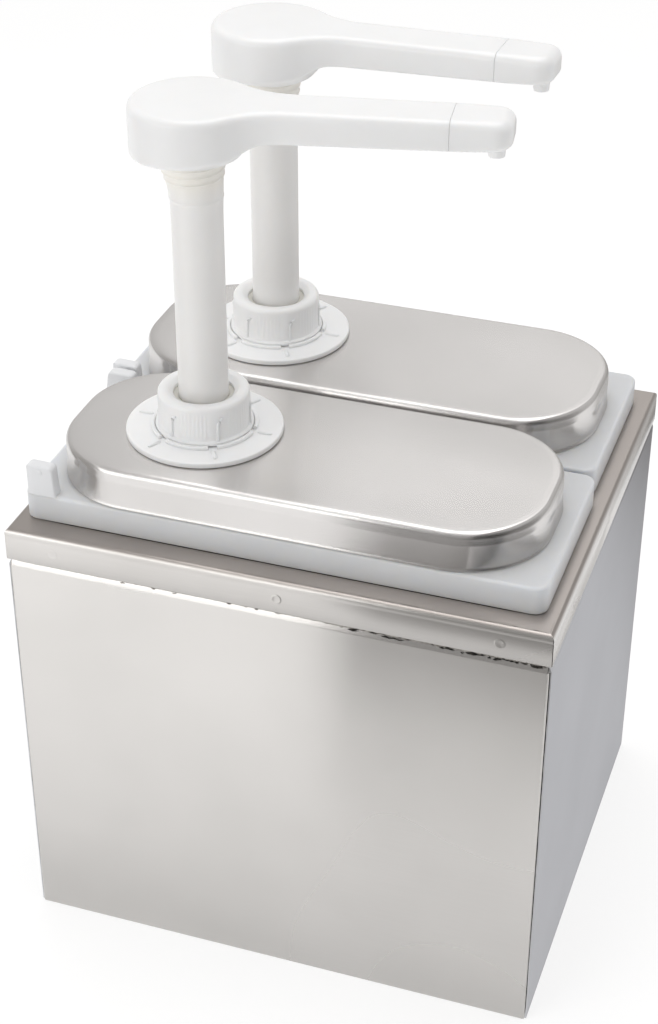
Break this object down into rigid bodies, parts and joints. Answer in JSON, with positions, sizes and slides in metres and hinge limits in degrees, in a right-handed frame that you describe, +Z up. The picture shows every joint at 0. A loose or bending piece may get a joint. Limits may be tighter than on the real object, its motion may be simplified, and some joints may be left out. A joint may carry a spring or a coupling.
{
  "type": "condiment pump dispenser",
  "caption": "Countertop sauce dispenser: folded steel housing, lift-out plastic tubs with steel lids, and plunger pumps with long swivelling spouts.",
  "frame": {"origin": "middle of the housing's flat base, on the surface it stands on", "axes": "+Z up; +X towards the side the spouts point to; +Y across the two tubs, so that the left tub is at -Y"},
  "size_m": [0.225, 0.195, 0.3713],
  "materials": {
    "panel_steel": "fine horizontal brush, lightly smudged",
    "frame_steel": "fine brush",
    "lid_steel": "satin top, brighter drawn wall",
    "tub_plastic": "milky translucent",
    "pump_plastic": "white, soft gloss",
    "inner_plastic": "natural white",
    "silicone": "soft, semi-clear",
    "valve_steel": "polished"
  },
  "bodies": {
    "housing": {"top_frame": "frame_steel", "left_side_panel": "panel_steel", "right_side_panel": "panel_steel", "front_panel": "panel_steel", "rear_panel": "panel_steel", "base_tray": "frame_steel"},
    "left_tub": {"left_tub": "tub_plastic"},
    "left_cover": {"left_lid": "lid_steel", "left_flange_gasket": "silicone", "left_pump_flange": "pump_plastic", "left_back_nut": "inner_plastic", "left_collar_nut": "pump_plastic", "left_guide_bush": "inner_plastic", "left_pump_cylinder": "pump_plastic", "left_inlet_valve_body": "inner_plastic", "left_dip_tube": "inner_plastic", "left_return_spring": "valve_steel"},
    "left_plunger": {"left_piston": "inner_plastic", "left_piston_seal": "silicone"},
    "left_spout": {"left_stem": "pump_plastic", "left_spout_head": "pump_plastic", "left_nozzle_tip": "pump_plastic"},
    "left_inlet_valve": {"left_inlet_ball": "valve_steel"},
    "left_outlet_valve": {"left_outlet_ball": "valve_steel"},
    "right_tub": {"right_tub": "tub_plastic"},
    "right_cover": {"right_lid": "lid_steel", "right_flange_gasket": "silicone", "right_pump_flange": "pump_plastic", "right_back_nut": "inner_plastic", "right_collar_nut": "pump_plastic", "right_guide_bush": "inner_plastic", "right_pump_cylinder": "pump_plastic", "right_inlet_valve_body": "inner_plastic", "right_dip_tube": "inner_plastic", "right_return_spring": "valve_steel"},
    "right_plunger": {"right_piston": "inner_plastic", "right_piston_seal": "silicone"},
    "right_spout": {"right_stem": "pump_plastic", "right_spout_head": "pump_plastic", "right_nozzle_tip": "pump_plastic"},
    "right_inlet_valve": {"right_inlet_ball": "valve_steel"},
    "right_outlet_valve": {"right_outlet_ball": "valve_steel"}
  },
  "joints": [
    {"name": "left_tub_lift", "type": "slide", "parent": "housing", "child": "left_tub", "axis": [0, 0, 1], "range_m": [0, 0.19]},
    {"name": "left_cover_lift", "type": "slide", "parent": "left_tub", "child": "left_cover", "axis": [0, 0, 1], "range_m": [0, 0.2]},
    {"name": "left_plunge", "type": "slide", "parent": "left_cover", "child": "left_plunger", "axis": [0, 0, 1], "range_m": [-0.08, 0], "stiffness_N_per_m": 150, "springref_m": 0.02, "deforming": ["left_return_spring"]},
    {"name": "left_swivel", "type": "hinge", "parent": "left_plunger", "child": "left_spout", "pos_m": [-0.0466, -0.04325, 0.35], "axis": [0, 0, 1], "range_deg": [-180, 6]},
    {"name": "left_inlet_valve_lift", "type": "slide", "parent": "left_cover", "child": "left_inlet_valve", "axis": [0, 0, 1], "range_m": [0, 0.003]},
    {"name": "left_outlet_valve_lift", "type": "slide", "parent": "left_plunger", "child": "left_outlet_valve", "axis": [0, 0, 1], "range_m": [0, 0.003]},
    {"name": "right_tub_lift", "type": "slide", "parent": "housing", "child": "right_tub", "axis": [0, 0, 1], "range_m": [0, 0.19]},
    {"name": "right_cover_lift", "type": "slide", "parent": "right_tub", "child": "right_cover", "axis": [0, 0, 1], "range_m": [0, 0.2]},
    {"name": "right_plunge", "type": "slide", "parent": "right_cover", "child": "right_plunger", "axis": [0, 0, 1], "range_m": [-0.08, 0], "stiffness_N_per_m": 150, "springref_m": 0.02, "deforming": ["right_return_spring"]},
    {"name": "right_swivel", "type": "hinge", "parent": "right_plunger", "child": "right_spout", "pos_m": [-0.0482, 0.0448, 0.35], "axis": [0, 0, 1], "range_deg": [-16, 180]},
    {"name": "right_inlet_valve_lift", "type": "slide", "parent": "right_cover", "child": "right_inlet_valve", "axis": [0, 0, 1], "range_m": [0, 0.003]},
    {"name": "right_outlet_valve_lift", "type": "slide", "parent": "right_plunger", "child": "right_outlet_valve", "axis": [0, 0, 1], "range_m": [0, 0.003]}
  ]
}
